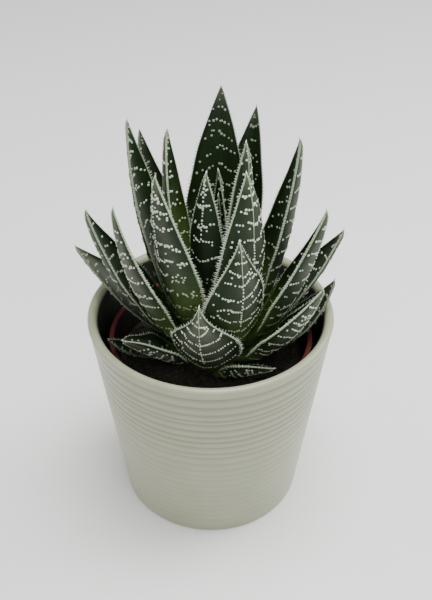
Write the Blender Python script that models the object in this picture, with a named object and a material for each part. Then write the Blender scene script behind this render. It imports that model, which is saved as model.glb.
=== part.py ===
"""Potted aloe: a spotted rosette with toothed leaves, in a nursery pot that stands in a ribbed cover pot.

Metres, +Z up. The origin is the middle of the cover pot's flat base. The viewer stands at -Y, and +X is
to the viewer's right. A leaf's azimuth is the direction it points in, seen from above, from +X.
"""

import math
from collections import namedtuple

import bmesh
import bpy
from mathutils import Vector

MM = 0.001

# The touching pieces keep this distance.
GAP = 0.3 * MM

# Cover pot: glazed ceramic, turned, with fine ribs round its outside.
COVER_HEIGHT = 119 * MM
COVER_RIM_RADIUS = 65 * MM
COVER_BASE_RADIUS = 49.5 * MM
COVER_WALL = 5 * MM
COVER_FLOOR = 6 * MM
COVER_LIP_ROUND = 2.4 * MM
COVER_RIB_TOP = 112 * MM
COVER_RIB_FOOT = 10 * MM
COVER_RIBS = 13
COVER_RIB_DEPTH = 0.7 * MM
COVER_FOOT_BEVEL = 1.5 * MM
COVER_SIDES = 44

# Nursery pot: thin plastic, with a turned-out lip and drainage holes.
NURSERY_BASE = COVER_FLOOR + GAP
NURSERY_HEIGHT = 96.7 * MM
NURSERY_LIP_RADIUS = 54.5 * MM
NURSERY_LIP_DEPTH = 9 * MM
NURSERY_LIP_STEP = 1.4 * MM
NURSERY_BASE_RADIUS = 39.5 * MM
NURSERY_WALL = 1.4 * MM
NURSERY_FLOOR = 1.8 * MM
NURSERY_EDGE = 0.4 * MM
NURSERY_SIDES = 36
DRAIN_HOLES = 5
DRAIN_RADIUS = 4 * MM
DRAIN_CIRCLE = 24 * MM
DRAIN_SIDES = 12

# How far a cutter runs past the faces that it cuts.
CUT_PAST = 2 * MM

# Soil: it fills the nursery pot to below its lip, with a plain hole for the crown.
SOIL_LEVEL = 88.5 * MM
SOIL_SIDES = NURSERY_SIDES
SOIL_RINGS = (0.44, 0.58, 0.72, 0.86)
SOIL_EDGE_DROP = 1 * MM
SOIL_BUMP = 0.5 * MM

# Crown: the short fat stem that every leaf grows from.
CROWN_X = 3 * MM
CROWN_RADIUS = 16.3 * MM
CROWN_RISE = 34.5 * MM
CROWN_ROOT_DEPTH = 13 * MM
CROWN_SIDES = 24

# Leaf blade: shares of its length or of its half width.
WIDEST_AT = 0.42
ROOT_SHARE = 0.36
CHANNEL_SHARE = 0.42
EDGE_THICKNESS = 0.8 * MM
RING_SPACING = 13 * MM
TOOTH_SPACING = 4.6 * MM
TOOTH_HEIGHT = 1.1 * MM
TOOTH_LEAN = 0.75
TEETH_FROM = 0.2
TEETH_TO = 0.93
TIP_RING = 0.965

Leaf = namedtuple(
    "Leaf",
    "root_azimuth tip_azimuth root_height root_radius reach tip_height bow width thickness roll",
)

# One line for each leaf, from the young spear in the heart outwards to the low ones at the rim, and last the
# four behind the plant. Angles are in degrees and sizes in millimetres. Root radius and reach are measured
# from the crown's axis. The bow is how far the middle of the leaf bends outwards, and the roll turns its tip
# about its own length.
LEAVES = (
    Leaf(-30, -30, 123, 1, 1, 190, 0, 7.5, 3, 0),
    Leaf(60, 30, 119, 5, 1, 203, 2, 14, 3.5, 0),
    Leaf(-120, -118, 116, 7, 10, 207.5, 4, 21, 4.5, 0),
    Leaf(-8, -47, 113, 9.5, 19.5, 226.5, 2.5, 23.5, 4.5, -8),
    Leaf(175, 171, 113, 9, 23, 223.5, 6, 26, 5, -10),
    Leaf(90, 86, 111, 10, 34, 231, 2, 33, 5.5, -10),
    Leaf(-48, -54, 108, 11.6, 23, 213, 8, 32.5, 5.5, 4),
    Leaf(-143, -152, 108, 11.7, 32, 209, 6.5, 35.5, 5.5, 3),
    Leaf(5, 14, 106, 13, 41, 215, 7, 33.5, 5.5, -10),
    Leaf(77, 60, 103, 14, 40, 220, 3.5, 25.5, 5.5, 8),
    Leaf(174, 164, 103, 14.5, 44, 224, 6.5, 29, 4, -10),
    Leaf(133, 140, 101, 15, 50, 208, 9.5, 27, 5.5, 0),
    Leaf(-66, -70, 103, 14.5, 31, 182, 8, 33, 5, 5),
    Leaf(-14, -15, 100.5, 15.2, 54, 190, 7, 31.5, 5.5, -3),
    Leaf(-150, -163, 100, 15.5, 51, 192, 9, 29, 4, 0),
    Leaf(166, 180, 98.5, 16, 64, 181, 10, 30, 5, 6),
    Leaf(24, 12, 98.5, 16, 67, 160, 8, 25, 5, -12),
    Leaf(-97, -104, 95, 16.5, 35, 147, 9, 35, 4.5, -3),
    Leaf(-41, -26, 95.7, 16.5, 58, 152, 7, 31.5, 4.5, -4),
    Leaf(150, 167, 93, 17, 76, 148, 7, 24.5, 4.5, 6),
    Leaf(-140, -152, 96, 19, 54, 118.5, 2, 31, 3.5, 22),
    Leaf(-91, -47, 92, 20, 43, 105, 1, 20, 3, -26),
    Leaf(-3, 3, 93, 16.5, 61.5, 136, 9.5, 24, 4.5, 12),
    Leaf(-181, -157, 91, 17, 60, 118, 11, 12, 2.5, 0),
    Leaf(52, 53, 96, 16, 55, 138, 7, 22, 4.5, 0),
    Leaf(79, 83, 93, 16.5, 48, 118, 6, 21.5, 4.5, 0),
    Leaf(112, 114, 96, 16, 46, 138, 6, 24, 4.5, 0),
    Leaf(114, 131, 92, 17, 46, 104.5, 4, 21, 4, 0),
)


def clear_scene():
    for obj in list(bpy.data.objects):
        bpy.data.objects.remove(obj, do_unlink=True)


def plain_material(name, colour, roughness):
    """A Principled material with one linear colour."""
    material = bpy.data.materials.new(name)
    material.use_nodes = True
    shader = material.node_tree.nodes["Principled BSDF"]
    shader.inputs["Base Color"].default_value = (*colour, 1)
    shader.inputs["Roughness"].default_value = roughness
    material.diffuse_color = (*colour, 1)
    return material


def add_object(name, mesh, material):
    obj = bpy.data.objects.new(name, mesh)
    bpy.context.collection.objects.link(obj)
    mesh.materials.append(material)
    return obj


def turned(name, profile, sides, material):
    """A piece turned about Z from its profile of (radius, height), which runs down its outer side."""
    mesh = bpy.data.meshes.new(name)
    points = [(radius, 0, height) for radius, height in profile]
    edges = [(i, i + 1) for i in range(len(points) - 1)]
    mesh.from_pydata(points, edges, [])
    obj = add_object(name, mesh, material)
    screw = obj.modifiers.new("turn", "SCREW")
    screw.steps = sides
    screw.render_steps = sides
    screw.use_merge_vertices = True
    screw.merge_threshold = 0.00001
    screw.use_smooth_shade = True
    return obj


def finished_mesh(obj):
    """Replaces an object's mesh with the one that its modifiers give."""
    bpy.context.view_layer.update()
    evaluated = obj.evaluated_get(bpy.context.evaluated_depsgraph_get())
    mesh = bpy.data.meshes.new_from_object(evaluated)
    obj.modifiers.clear()
    obj.data = mesh
    mesh.name = obj.name


def cut(obj, cutter):
    cutter.hide_render = True
    cutter.display_type = "WIRE"
    boolean = obj.modifiers.new("cut", "BOOLEAN")
    boolean.operation = "DIFFERENCE"
    boolean.solver = "EXACT"
    boolean.object = cutter


def cylinders(name, radius, low, high, centres, sides, material):
    """Upright cylinders in one mesh, as a cutter."""
    bm = bmesh.new()
    for x, y in centres:
        made = bmesh.ops.create_cone(
            bm, cap_ends=True, segments=sides, radius1=radius, radius2=radius, depth=high - low
        )
        bmesh.ops.translate(bm, verts=made["verts"], vec=(x, y, (low + high) / 2))
    mesh = bpy.data.meshes.new(name)
    bm.to_mesh(mesh)
    bm.free()
    return add_object(name, mesh, material)


def cover_radius(height):
    """The cover pot's outer radius at a height, between its ribs' crests."""
    return COVER_BASE_RADIUS + (COVER_RIM_RADIUS - COVER_BASE_RADIUS) * height / COVER_HEIGHT


def cover_pot():
    inner_top = COVER_RIM_RADIUS - COVER_WALL
    inner_foot = cover_radius(COVER_FLOOR) - COVER_WALL
    bend = COVER_LIP_ROUND
    profile = [
        (0, COVER_FLOOR),
        (inner_foot - bend, COVER_FLOOR),
        (inner_foot, COVER_FLOOR + bend),
        (inner_top, COVER_HEIGHT - bend),
        (inner_top + 0.3 * bend, COVER_HEIGHT - 0.3 * bend),
        (inner_top + bend, COVER_HEIGHT),
        (COVER_RIM_RADIUS - bend, COVER_HEIGHT),
        (COVER_RIM_RADIUS - 0.3 * bend, COVER_HEIGHT - 0.3 * bend),
        (COVER_RIM_RADIUS, COVER_HEIGHT - bend),
    ]
    pitch = (COVER_RIB_TOP - COVER_RIB_FOOT) / COVER_RIBS
    for i in range(COVER_RIBS):
        crest = COVER_RIB_TOP - i * pitch
        groove = crest - pitch / 2
        profile.append((cover_radius(crest), crest))
        profile.append((cover_radius(groove) - COVER_RIB_DEPTH, groove))
    profile += [
        (cover_radius(COVER_RIB_FOOT), COVER_RIB_FOOT),
        (cover_radius(COVER_FOOT_BEVEL), COVER_FOOT_BEVEL),
        (COVER_BASE_RADIUS - COVER_FOOT_BEVEL, 0),
        (0, 0),
    ]
    glaze = plain_material("sage glazed ceramic", (0.39, 0.40, 0.33), 0.35)
    turned("cover_pot", profile, COVER_SIDES, glaze)


def nursery_radius(height):
    """The nursery pot's outer radius at a height above its base, below its lip."""
    rim = NURSERY_LIP_RADIUS - NURSERY_LIP_STEP
    return NURSERY_BASE_RADIUS + (rim - NURSERY_BASE_RADIUS) * height / NURSERY_HEIGHT


def nursery_pot():
    top = NURSERY_BASE + NURSERY_HEIGHT
    lip_foot = NURSERY_HEIGHT - NURSERY_LIP_DEPTH
    inner_rim = nursery_radius(NURSERY_HEIGHT) - NURSERY_WALL
    edge = NURSERY_EDGE
    profile = [
        (0, NURSERY_BASE + NURSERY_FLOOR),
        (nursery_radius(NURSERY_FLOOR) - NURSERY_WALL, NURSERY_BASE + NURSERY_FLOOR),
        (nursery_radius(lip_foot) - NURSERY_WALL, NURSERY_BASE + lip_foot),
        (inner_rim, top - edge),
        (inner_rim + edge, top),
        (NURSERY_LIP_RADIUS - edge, top),
        (NURSERY_LIP_RADIUS, top - edge),
        (NURSERY_LIP_RADIUS - 0.6 * MM, NURSERY_BASE + lip_foot),
        (nursery_radius(lip_foot), NURSERY_BASE + lip_foot),
        (NURSERY_BASE_RADIUS, NURSERY_BASE + edge),
        (NURSERY_BASE_RADIUS - edge, NURSERY_BASE),
        (0, NURSERY_BASE),
    ]
    plastic = plain_material("terracotta plastic", (0.22, 0.05, 0.03), 0.5)
    pot = turned("nursery_pot", profile, NURSERY_SIDES, plastic)
    angles = [i * math.tau / DRAIN_HOLES for i in range(DRAIN_HOLES)]
    centres = [(DRAIN_CIRCLE * math.cos(angle), DRAIN_CIRCLE * math.sin(angle)) for angle in angles]
    low = NURSERY_BASE - CUT_PAST
    high = NURSERY_BASE + NURSERY_FLOOR + CUT_PAST
    cut(pot, cylinders("drain_cutter", DRAIN_RADIUS, low, high, centres, DRAIN_SIDES, plastic))


def soil_bump(x, y):
    """Low lumps of peat, from a few crossing waves."""
    across = math.sin(x / (4.1 * MM) + 1.3)
    along = math.sin(y / (3.3 * MM) + 0.4)
    slanting = math.sin((x + y) / (5.7 * MM))
    return SOIL_BUMP * (across + along + slanting) / 3


def raise_lumps(mesh, inner, outer):
    """Bumps the soil's surface between two radii, clear of the hole for the crown."""
    for vertex in mesh.vertices:
        distance = math.hypot(vertex.co.x, vertex.co.y)
        if vertex.co.z > SOIL_LEVEL - 0.1 * MM and inner < distance < outer:
            vertex.co.z += soil_bump(vertex.co.x, vertex.co.y)


def soil():
    base = NURSERY_BASE + NURSERY_FLOOR + GAP
    inset = NURSERY_WALL + 1.5 * GAP
    foot = nursery_radius(base - NURSERY_BASE) - inset
    top = nursery_radius(SOIL_LEVEL - NURSERY_BASE) - inset
    profile = [(0, SOIL_LEVEL)]
    profile += [(top * share, SOIL_LEVEL) for share in SOIL_RINGS]
    profile += [(top, SOIL_LEVEL - SOIL_EDGE_DROP), (foot, base), (0, base)]
    peat = plain_material("peat compost", (0.03, 0.02, 0.014), 0.95)
    obj = turned("soil", profile, SOIL_SIDES, peat)
    finished_mesh(obj)
    raise_lumps(obj.data, top * SOIL_RINGS[0] + 1 * MM, top * SOIL_RINGS[-1] + 1 * MM)
    low = SOIL_LEVEL - CROWN_ROOT_DEPTH - GAP
    high = SOIL_LEVEL + CUT_PAST
    cut(obj, cylinders("crown_hole", CROWN_RADIUS + GAP, low, high, [(CROWN_X, 0)], CROWN_SIDES, peat))


def crown_radius(height):
    """The crown's radius at a height: a blunt dome above the soil."""
    share = min(1, max(0, (height - SOIL_LEVEL) / CROWN_RISE))
    return CROWN_RADIUS * (1 - share**1.9) ** 0.9


def crown():
    steps = 8
    heights = [SOIL_LEVEL + CROWN_RISE * (1 - (i / steps) ** 1.4) for i in range(1, steps + 1)]
    profile = [(0, SOIL_LEVEL + 0.985 * CROWN_RISE)]
    profile += [(crown_radius(height), height) for height in heights]
    profile += [(CROWN_RADIUS, SOIL_LEVEL - CROWN_ROOT_DEPTH), (0, SOIL_LEVEL - CROWN_ROOT_DEPTH)]
    flesh = plain_material("pale leaf base tissue", (0.35, 0.40, 0.16), 0.6)
    obj = turned("crown", profile, CROWN_SIDES, flesh)
    obj.location.x = CROWN_X


def direction(azimuth):
    return Vector((math.cos(azimuth), math.sin(azimuth), 0))


def spine(leaf):
    """The root, the middle handle and the tip of a leaf's curve."""
    start, end = math.radians(leaf.root_azimuth), math.radians(leaf.tip_azimuth)
    centre = Vector((CROWN_X, 0, 0))
    root = centre + direction(start) * leaf.root_radius * MM
    root.z = leaf.root_height * MM
    tip = centre + direction(end) * leaf.reach * MM
    tip.z = leaf.tip_height * MM
    chord = (tip - root).normalized()
    outward = direction((start + end) / 2)
    bend = (outward - chord * outward.dot(chord)).normalized()
    handle = (root + tip) / 2 + bend * 2 * leaf.bow * MM
    return root, handle, tip


def place(leaf, share):
    """The point, side and upward directions of a leaf at a share of its length."""
    root, handle, tip = spine(leaf)
    point = root * (1 - share) ** 2 + handle * 2 * share * (1 - share) + tip * share**2
    along = ((handle - root) * (1 - share) + (tip - handle) * share).normalized()
    azimuth = math.radians(leaf.root_azimuth + (leaf.tip_azimuth - leaf.root_azimuth) * share)
    level = Vector((-math.sin(azimuth), math.cos(azimuth), 0))
    side = (level - along * level.dot(along)).normalized()
    upward = along.cross(side)
    roll = math.radians(leaf.roll) * share
    turned_side = side * math.cos(roll) + upward * math.sin(roll)
    return point, turned_side, upward * math.cos(roll) - side * math.sin(roll)


def half_width(leaf, share):
    """A leaf widens from its root to its widest place, then tapers to its tip."""
    widest = leaf.width * MM / 2
    if share < WIDEST_AT:
        return widest * (ROOT_SHARE + (1 - ROOT_SHARE) * math.sin(math.pi / 2 * share / WIDEST_AT))
    left = (1 - share) / (1 - WIDEST_AT)
    return widest * (1 - (1 - left) ** 1.7)


def section_point(leaf, share, across, face):
    """A point on a leaf's surface: across is -1 to 1, and face is 1 above or -1 below."""
    point, side, upward = place(leaf, share)
    half = half_width(leaf, share)
    rise = CHANNEL_SHARE * half * min(1, 0.35 + 1.6 * share) * across**2
    if face < 0:
        thickness = min(leaf.thickness * MM * (0.25 + 0.75 * (1 - share) ** 0.9), 0.8 * half)
        edge = min(EDGE_THICKNESS, 0.45 * thickness)
        keel = 1.6 - 0.4 * share
        rise -= edge + (thickness - edge) * (1 - abs(across) ** keel)
    return point + side * half * across + upward * rise


def tooth_tip(leaf, share, next_share, sign):
    """A tooth stands out from the margin and leans towards the leaf's tip."""
    at = share + (next_share - share) * TOOTH_LEAN
    above = section_point(leaf, at, sign, 1)
    below = section_point(leaf, at, sign, -1)
    side = place(leaf, at)[1]
    height = TOOTH_HEIGHT * min(1, half_width(leaf, at) / (4 * MM))
    return (above + below) / 2 + side * sign * height


def edge_points(bm, leaf, shares, across, face):
    return [bm.verts.new(section_point(leaf, share, across, face)) for share in shares]


def bridge(bm, fine, start, end, flip):
    """Triangles between a fine row of points and the plain edge from start to end."""
    middle = len(fine) // 2
    triangles = [(fine[i], fine[i + 1], start) for i in range(middle)]
    triangles.append((fine[middle], end, start))
    triangles += [(fine[i], fine[i + 1], end) for i in range(middle, len(fine) - 1)]
    for triangle in triangles:
        bm.faces.new(reversed(triangle) if flip else triangle)


def margin(bm, leaf, shares, above, below, sign):
    """The narrow edge strip, where each stretch rises to a tooth."""
    for i in range(len(shares) - 1):
        quad = (above[i], above[i + 1], below[i + 1], below[i])
        if sign < 0:
            quad = quad[::-1]
        if TEETH_FROM <= shares[i] and shares[i + 1] <= TEETH_TO:
            tip = bm.verts.new(tooth_tip(leaf, shares[i], shares[i + 1], sign))
            for j in range(4):
                bm.faces.new((quad[j], quad[(j + 1) % 4], tip))
        else:
            bm.faces.new(quad)


def blade_mesh(name, leaf):
    """A leaf as one closed body: rings along its length, joined by toothed margins, and a pointed tip."""
    root, handle, tip = spine(leaf)
    length = ((handle - root).length + (tip - handle).length + (tip - root).length) / 2
    rings = max(5, round(length / RING_SPACING))
    teeth = max(1, round(length * TIP_RING / rings / TOOTH_SPACING))
    coarse = [TIP_RING * i / rings for i in range(rings + 1)]
    fine = [TIP_RING * i / (rings * teeth) for i in range(rings * teeth + 1)]
    bm = bmesh.new()
    upper = {sign: edge_points(bm, leaf, fine, sign, 1) for sign in (-1, 1)}
    lower = {sign: edge_points(bm, leaf, fine, sign, -1) for sign in (-1, 1)}
    groove = edge_points(bm, leaf, coarse, 0, 1)
    keel = edge_points(bm, leaf, coarse, 0, -1)
    flank = {sign: edge_points(bm, leaf, coarse, 0.5 * sign, -1) for sign in (-1, 1)}
    for sign in (-1, 1):
        for i in range(rings):
            row = slice(i * teeth, (i + 1) * teeth + 1)
            bridge(bm, upper[sign][row], groove[i], groove[i + 1], sign < 0)
            bridge(bm, lower[sign][row], flank[sign][i], flank[sign][i + 1], sign > 0)
            inner = (keel[i], keel[i + 1], flank[sign][i + 1], flank[sign][i])
            bm.faces.new(inner if sign > 0 else inner[::-1])
        margin(bm, leaf, fine, upper[sign], lower[sign], sign)
    close_ends(bm, leaf, upper, lower, groove, keel, flank)
    bmesh.ops.recalc_face_normals(bm, faces=bm.faces)
    mesh = bpy.data.meshes.new(name)
    bm.to_mesh(mesh)
    bm.free()
    mesh.shade_smooth()
    mesh.set_sharp_from_angle(angle=math.radians(40))
    return mesh


def close_ends(bm, leaf, upper, lower, groove, keel, flank):
    """Caps the root with a flat fan and draws the last ring to a point."""
    for end in (0, -1):
        ring = [
            upper[-1][end], groove[end], upper[1][end], lower[1][end],
            flank[1][end], keel[end], flank[-1][end], lower[-1][end],
        ]
        middle = sum((vertex.co for vertex in ring), Vector()) / len(ring)
        apex = bm.verts.new(middle if end == 0 else place(leaf, 1)[0])
        for i, vertex in enumerate(ring):
            bm.faces.new((vertex, ring[(i + 1) % len(ring)], apex))


def leaves():
    skin = plain_material("aloe leaf skin", (0.03, 0.06, 0.03), 0.45)
    for number, leaf in enumerate(LEAVES, start=1):
        name = f"leaf_{number:02d}"
        add_object(name, blade_mesh(name, leaf), skin)


def main():
    clear_scene()
    cover_pot()
    nursery_pot()
    soil()
    crown()
    leaves()


main()
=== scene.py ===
"""Looks of a potted aloe: finely toothed leaves with raised white pearls, in a ribbed sage-grey cover pot.

Metres, +Z up. The origin is the middle of the cover pot's flat base, the viewer stands at -Y and +X is to
the viewer's right. A leaf's share runs from 0 at its root to 1 at its tip, and its across from -1 to 1
between its two margins. Its face is 1 above, towards the heart of the plant, and -1 below.
"""

import math
from collections import namedtuple

import bpy
import numpy as np
from mathutils import Euler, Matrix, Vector, noise


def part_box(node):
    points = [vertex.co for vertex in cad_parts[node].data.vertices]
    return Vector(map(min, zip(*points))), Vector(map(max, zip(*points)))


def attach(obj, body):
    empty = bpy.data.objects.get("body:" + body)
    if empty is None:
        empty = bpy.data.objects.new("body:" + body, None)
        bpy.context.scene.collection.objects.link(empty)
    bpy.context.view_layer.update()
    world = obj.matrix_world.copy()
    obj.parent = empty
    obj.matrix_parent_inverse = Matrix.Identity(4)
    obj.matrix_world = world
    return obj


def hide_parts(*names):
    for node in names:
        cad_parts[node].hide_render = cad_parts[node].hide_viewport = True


MM = 0.001
SEED = 41

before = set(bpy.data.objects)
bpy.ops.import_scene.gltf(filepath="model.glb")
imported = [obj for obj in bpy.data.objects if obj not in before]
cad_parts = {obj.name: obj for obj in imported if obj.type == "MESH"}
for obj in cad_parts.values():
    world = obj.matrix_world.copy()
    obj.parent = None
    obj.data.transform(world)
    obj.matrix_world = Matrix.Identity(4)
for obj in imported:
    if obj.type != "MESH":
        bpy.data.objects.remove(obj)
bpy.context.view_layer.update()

# Cover pot, in its outline from the base up.
_, COVER_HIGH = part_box("cover_pot")
COVER_HEIGHT = COVER_HIGH.z
COVER_RIM_RADIUS = COVER_HIGH.x
COVER_BASE_RADIUS = 49.5 * MM
COVER_WALL = 5 * MM
COVER_FLOOR = 6 * MM
COVER_FOOT_ROUND = 1.8 * MM
COVER_INNER_BEND = 5 * MM
COVER_SIDES = 160
# How far the pale glaze runs over the lip and down inside. Below it the inside is painted nearly black, as
# painted shade inside the pot.
LIP_GLAZE = 3.2 * MM
# The heights in millimetres of the grooves that show, from the rim down: the thrower's hand was not quite
# even. Below them the pitch is the usual one, down to the last groove.
GROOVE_HEIGHTS = (113.2, 106.8, 101.2, 96.8, 94, 88.8, 83.8, 79.9, 75.5, 70.5, 67, 61.2)
GROOVE_PITCH = 4.4 * MM
GROOVE_LAST = 8 * MM
GROOVE_DEPTH = 0.52 * MM
GROOVE_STEP = 0.55 * MM
# The grooves have their full depth down to one height, and this share of it from the other height down.
GROOVE_FADED = 0.25
GROOVE_FULL_AT = 80 * MM
GROOVE_FAINT_AT = 35 * MM
# How far the first groove runs out upwards, and the last one downwards.
FIRST_GROOVE_RUN_OUT = 2 * MM
LAST_GROOVE_RUN_OUT = 3 * MM

# Nursery pot, from its base up.
NURSERY_LOW, NURSERY_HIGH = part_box("nursery_pot")
NURSERY_BASE_RADIUS = 39.5 * MM
NURSERY_LIP_DEPTH = 9 * MM
NURSERY_LIP_STEP = 1.4 * MM
NURSERY_LIP_ROUND = 0.6 * MM
NURSERY_BEAD_DEPTH = 1.7 * MM
NURSERY_BEAD_STEP = 0.5 * MM
NURSERY_FOOT_ROUND = 0.8 * MM
NURSERY_WALL = 1.4 * MM
NURSERY_FLOOR = 1.8 * MM
NURSERY_SIDES = 120
DRAIN_HOLES = 5
DRAIN_RADIUS = 4 * MM
DRAIN_CIRCLE = 24 * MM
DRAIN_SIDES = 32

# Compost. Its surface has broad mounds and small lumps.
SOIL_LOW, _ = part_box("soil")
SOIL_LEVEL = 88.5 * MM
SOIL_INSET = 0.45 * MM
SOIL_RING_STEP = 1.3 * MM
SOIL_SIDES = 150
SOIL_HEAVE = 0.9 * MM
MOUND_WIDTH = 14 * MM
LUMP_WIDTH = 3.2 * MM

# Crumbs and bark chips on the compost: how many, their radii in millimetres, and how thick they are for
# their width. They keep clear of the pot's middle and of the nursery pot's wall.
CRUMBS = (420, (0.5, 1.9), 0.8)
CHIPS = (70, (1.2, 2.6), 0.35)
CROWN_CLEAR = 17 * MM
WALL_CLEAR = 3.4 * MM

# Leaf blade: shares of its length, of its half width or, at its tip, of its thickness. The crown that the
# leaves grow from stands a little to the right of the pot's middle.
CROWN_X = 3 * MM
WIDEST_AT = 0.42
ROOT_SHARE = 0.36
TAPER = 1.7
CHANNEL_SHARE = 0.42
TIP_THICKNESS = 0.25
EDGE_THICKNESS = 0.8 * MM
SWAY = 1 * MM
SWAY_LENGTH = 5 * MM
STATION_STEP = 0.95 * MM
FEWEST_STATIONS = 30
LAST_STATION = 0.992
FACE_POINTS = 13
KEEL_POINTS = 17

# The rounded rim along a leaf's margins. Its radius is this share of the leaf's margin in MARKS.
RIM_SHARE = 0.9
BEAD_PROUD = 0.08 * MM
BEAD_THINNEST = 0.2 * MM
BEAD_POINTS = 9
BEAD_WRAP = math.radians(120)

# Margin teeth, and the spine at the tip. The teeth are longest a little below the middle of a leaf.
TEETH_FROM = 0.2
TEETH_TO = 0.985
TOOTH_SPACING = 1.5 * MM
TOOTH_LENGTH = 2.3 * MM
TOOTH_WIDTH = 0.22 * MM
TOOTH_SUNK = 0.15 * MM
SPINE_LENGTH = 1.9 * MM
SPINE_WIDTH = 0.35 * MM

# Pearls. Those of a dash touch one another, a band stops short of the margin, and the bands lie closer
# near the tip. The inner face has bands of single pearls, spaced and bent in millimetres as the outer ones
# are in MARKS.
PEARL_RADIUS = 0.88 * MM
PEARL_HEIGHT = 0.45 * MM
PEARL_TOUCH = 1.45 * MM
TIP_PEARLS = 3
FIRST_BAND = 11 * MM
CLOSE_BANDS = 35 * MM
PEARLED_SHARE = 0.84
BAND_CLEAR = 1.6 * MM
FULL_BEND_HALF = 14 * MM
INNER_SPACING = 9.5
INNER_BEND = -7
USUAL_STRAYS = 1.2
KEEL_RADIUS = 0.36 * MM
KEEL_STEP = 1.1 * MM
KEEL_DOTS_SHARE = 0.35

# The material slots of a leaf, in their order.
SKIN, RIM, PEARLS, TEETH = range(4)

Leaf = namedtuple(
    "Leaf",
    "root_azimuth tip_azimuth root_height root_radius reach tip_height bow width thickness roll ogee",
    defaults=(0,),
)

# One line for each leaf, from the young spear in the heart outwards to the low ones at the rim, and last
# the four behind the plant. Angles are in degrees and sizes in millimetres. Root radius and reach are
# measured from the crown's axis. The bow is how far the middle of the leaf bends outwards, and the roll
# turns its tip about its own length. The ogee, where there is one, gives a leaf round shoulders and a
# drawn-out tip, or the opposite where it is below 0.
LEAVES = (
    Leaf(-30, -30, 123, 1, 1, 190, 0, 7.5, 3, 0),
    Leaf(60, 30, 119, 5, 1, 203, 2, 14, 3.5, 0),
    Leaf(-120, -118, 116, 7, 10, 207.5, 4, 21, 4.5, 0),
    Leaf(-8, -47, 113, 9.5, 19.5, 226.5, 2.5, 23.5, 4.5, -8),
    Leaf(175, 171, 113, 9, 23, 223.5, 6, 26, 5, -10),
    Leaf(90, 86, 111, 10, 34, 231, 2, 33, 5.5, -10),
    Leaf(-48, -54, 108, 11.6, 23, 213, 8, 32.5, 5.5, 4),
    Leaf(-143, -152, 108, 11.7, 32, 209, 6.5, 35.5, 5.5, 3),
    Leaf(5, 14, 106, 13, 41, 215, 7, 33.5, 5.5, -10),
    Leaf(77, 60, 103, 14, 40, 220, 3.5, 25.5, 5.5, 8),
    Leaf(174, 164, 103, 14.5, 44, 224, 6.5, 29, 4, -10),
    Leaf(133, 140, 101, 15, 50, 208, 9.5, 27, 5.5, 0),
    Leaf(-66, -70, 103, 14.5, 31, 182, 8, 33, 5, 5, 0.06),
    Leaf(-14, -15, 100.5, 15.2, 54, 190, 7, 31.5, 5.5, -3),
    Leaf(-150, -163, 100, 15.5, 51, 192, 9, 29, 4, 0),
    Leaf(166, 180, 98.5, 16, 64, 181, 10, 30, 5, 6),
    Leaf(24, 12, 98.5, 16, 67, 160, 8, 25, 5, -12),
    Leaf(-97, -104, 95, 16.5, 35, 147, 9, 35, 4.5, -3, 0.15),
    Leaf(-41, -26, 95.7, 16.5, 58, 152, 7, 31.5, 4.5, -4),
    Leaf(150, 167, 93, 17, 76, 148, 7, 24.5, 4.5, 6),
    Leaf(-140, -152, 96, 19, 54, 118.5, 2, 31, 3.5, 22, -0.1),
    Leaf(-91, -47, 92, 20, 43, 105, 1, 20, 3, -26),
    Leaf(-3, 3, 93, 16.5, 61.5, 136, 9.5, 24, 4.5, 12),
    Leaf(-181, -157, 91, 17, 60, 118, 11, 12, 2.5, 0),
    Leaf(52, 53, 96, 16, 55, 138, 7, 22, 4.5, 0),
    Leaf(79, 83, 93, 16.5, 48, 118, 6, 21.5, 4.5, 0),
    Leaf(112, 114, 96, 16, 46, 138, 6, 24, 4.5, 0),
    Leaf(114, 131, 92, 17, 46, 104.5, 4, 21, 4, 0),
)
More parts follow.
